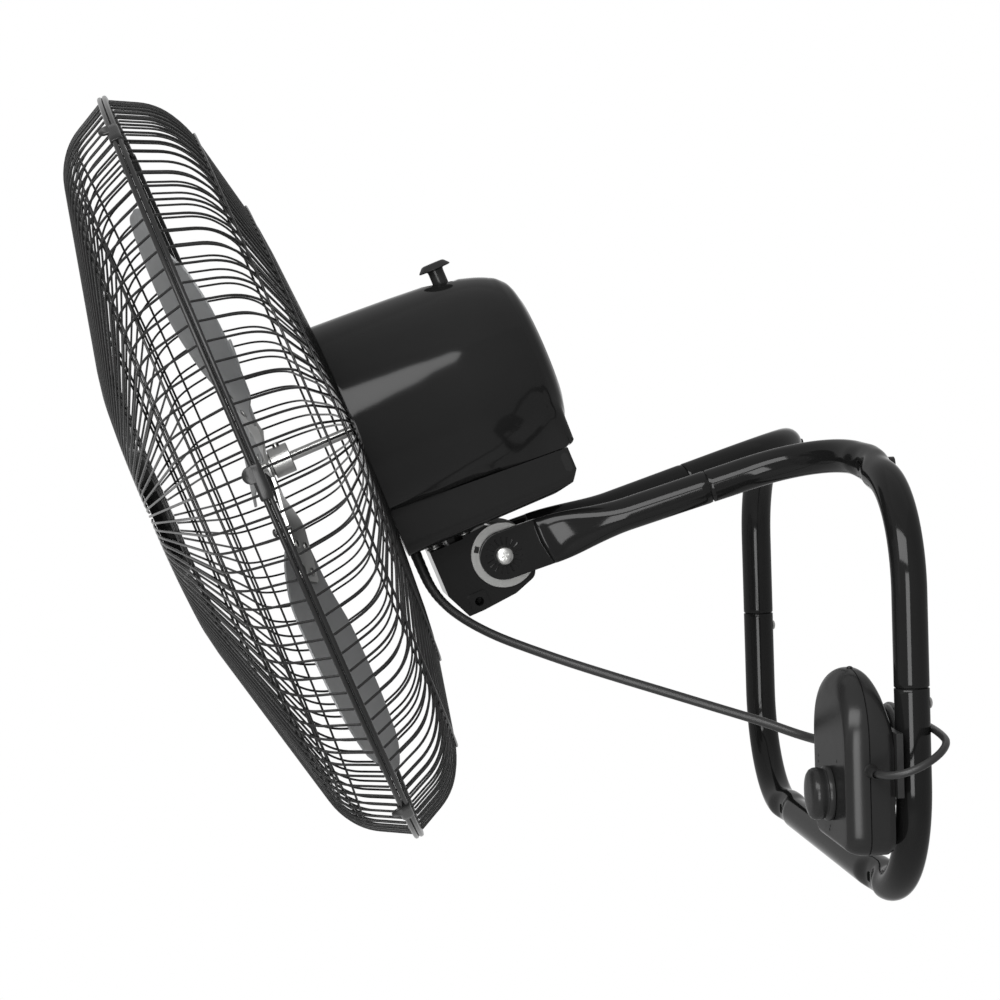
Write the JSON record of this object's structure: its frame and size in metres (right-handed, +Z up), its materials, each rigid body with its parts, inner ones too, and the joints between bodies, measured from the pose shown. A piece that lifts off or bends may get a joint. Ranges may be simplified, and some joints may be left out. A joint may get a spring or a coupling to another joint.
{
  "type": "wall mounted fan",
  "caption": "Wall mounted fan: a round wire guard and blades on a motor head that tilts and pans on a tubular wall bracket with a control box.",
  "frame": {"origin": "centre of the four wall holes, on the wall plane", "axes": "+Z up, -Y out of the wall into the room, +X sideways towards the leg that carries the control box"},
  "size_m": [0.7227, 0.6875, 0.7078],
  "materials": {
    "gloss_black_paint": "gloss powder coat",
    "guard_wire_black": "gloss powder coated wire",
    "gloss_black_plastic": "gloss moulded",
    "matt_black_plastic": "matt moulded",
    "grey_blade": "satin grey",
    "bright_steel": "zinc plated",
    "core_steel": "bare laminations",
    "cord_black": "smooth sheath",
    "brass_pins": "plain"
  },
  "bodies": {
    "bracket": {"wall_loop": "gloss_black_paint", "upper_bend_right": "gloss_black_paint", "upper_bend_left": "gloss_black_paint", "arm_right": "gloss_black_paint", "arm_left": "gloss_black_paint", "wall_spacers": "matt_black_plastic", "detent_disc_right": "bright_steel", "detent_disc_left": "bright_steel", "tilt_bolt": "bright_steel", "tilt_nut": "bright_steel", "box_front_shell": "gloss_black_plastic", "box_back_shell": "gloss_black_plastic", "box_plate": "gloss_black_paint", "rotary_switch": "matt_black_plastic", "mains_gland": "matt_black_plastic", "motor_cord_gland": "matt_black_plastic", "motor_cord": "cord_black", "mains_cord": "cord_black", "mains_coil": "cord_black", "mains_tail": "cord_black", "plug_body": "matt_black_plastic", "plug_pins": "brass_pins", "coil_tie": "matt_black_plastic"},
    "neck": {"neck_block": "gloss_black_paint", "pan_collar": "gloss_black_paint", "pan_spindle": "bright_steel"},
    "head": {"motor_shell": "gloss_black_paint", "base_cover": "gloss_black_paint", "front_shield": "gloss_black_paint", "gearbox_case": "core_steel", "bearings": "bright_steel", "stator_core": "core_steel", "head_gland": "matt_black_plastic", "front_guard_wires": "guard_wire_black", "rear_guard_wires": "guard_wire_black", "front_guard_rings": "guard_wire_black", "rear_guard_rings": "guard_wire_black", "front_rim": "guard_wire_black", "rear_rim": "guard_wire_black", "rear_guard_plate": "gloss_black_paint", "guard_disc": "gloss_black_paint", "rim_clip_1": "guard_wire_black", "rim_clip_2": "guard_wire_black", "rim_clip_3": "guard_wire_black", "rim_clip_4": "guard_wire_black", "rim_clip_5": "guard_wire_black", "rim_clip_6": "guard_wire_black"},
    "rotor": {"shaft": "bright_steel", "rotor_core": "core_steel", "hub": "bright_steel", "spider": "bright_steel", "blade_1": "grey_blade", "blade_2": "grey_blade", "blade_3": "grey_blade"},
    "oscillation_knob": {"oscillation_knob": "gloss_black_plastic"},
    "speed_knob": {"speed_knob": "gloss_black_plastic"}
  },
  "joints": [
    {"name": "tilt", "type": "hinge", "parent": "bracket", "child": "neck", "pos_m": [0, -0.3165, 0.1002], "axis": [1, 0, 0], "range_deg": [-10, 25], "deforming": ["motor_cord"]},
    {"name": "pan", "type": "hinge", "parent": "neck", "child": "head", "pos_m": [0, -0.40785, 0.22795], "axis": [0, -0.3584, 0.9336], "range_deg": [-40, 40], "deforming": ["motor_cord"]},
    {"name": "rotor_spin", "type": "hinge", "parent": "head", "child": "rotor", "pos_m": [-0.00393, -0.52449, 0.18317], "axis": [-0.0314, -0.9331, -0.3582], "continuous": true},
    {"name": "oscillation_knob_slide", "type": "slide", "parent": "head", "child": "oscillation_knob", "axis": [0, -0.3584, 0.9336], "range_m": [-0.008, 0]},
    {"name": "speed_knob_turn", "type": "hinge", "parent": "bracket", "child": "speed_knob", "pos_m": [0.26, -0.0816, -0.0867], "axis": [0, 1, 0], "range_deg": [0, 135]}
  ]
}
